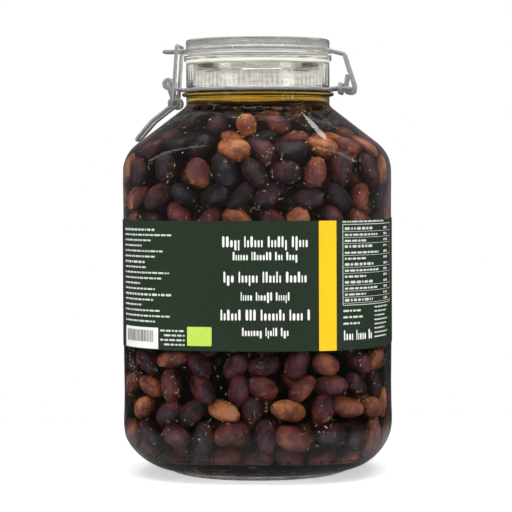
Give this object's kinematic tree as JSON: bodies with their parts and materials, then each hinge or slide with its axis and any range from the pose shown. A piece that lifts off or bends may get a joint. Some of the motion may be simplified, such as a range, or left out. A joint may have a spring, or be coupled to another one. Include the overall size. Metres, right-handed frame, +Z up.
{
  "type": "jar of olives",
  "caption": "Large rounded-square glass jar with a wire-clamped glass lid and rubber gasket, filled with dark olives in oil, with a wrap-round paper label.",
  "frame": {"origin": "middle of the foot, on the surface that the jar stands on", "axes": "+Z up along the jar; -Y out of the label's front; -X towards the latch and +X towards the lid's hinge"},
  "size_m": [0.1752, 0.175, 0.2842],
  "materials": {
    "glass": "clear moulded glass",
    "gasket_rubber": "pale rubber ring",
    "wire": "zinc-plated steel wire",
    "label_paper": "printed semi-gloss paper, dark green with a yellow stripe",
    "oil": "clear yellow oil",
    "olive": "wet, wrinkled olive skin"
  },
  "bodies": {
    "jar_body": {"jar": "glass", "lid": "glass", "gasket": "gasket_rubber", "neck_wire": "wire", "lid_wire": "wire", "hinge_collar": "wire", "label": "label_paper", "oil": "oil", "olives": "olive"},
    "lever_body": {"latch_lever": "wire"},
    "link_body": {"latch_link": "wire"}
  },
  "joints": [
    {"name": "lever_pivot", "type": "hinge", "parent": "jar_body", "child": "lever_body", "pos_m": [-0.0586, 0, 0.2556], "axis": [0, 1, 0], "range_deg": [0, 95]},
    {"name": "link_pivot", "type": "hinge", "parent": "lever_body", "child": "link_body", "pos_m": [-0.0546, 0, 0.2428], "axis": [0, -1, 0], "range_deg": [0, 118.75]}
  ],
  "couplings": [
    {"joint": "link_pivot", "follows": "lever_pivot", "ratio": 1.25}
  ]
}
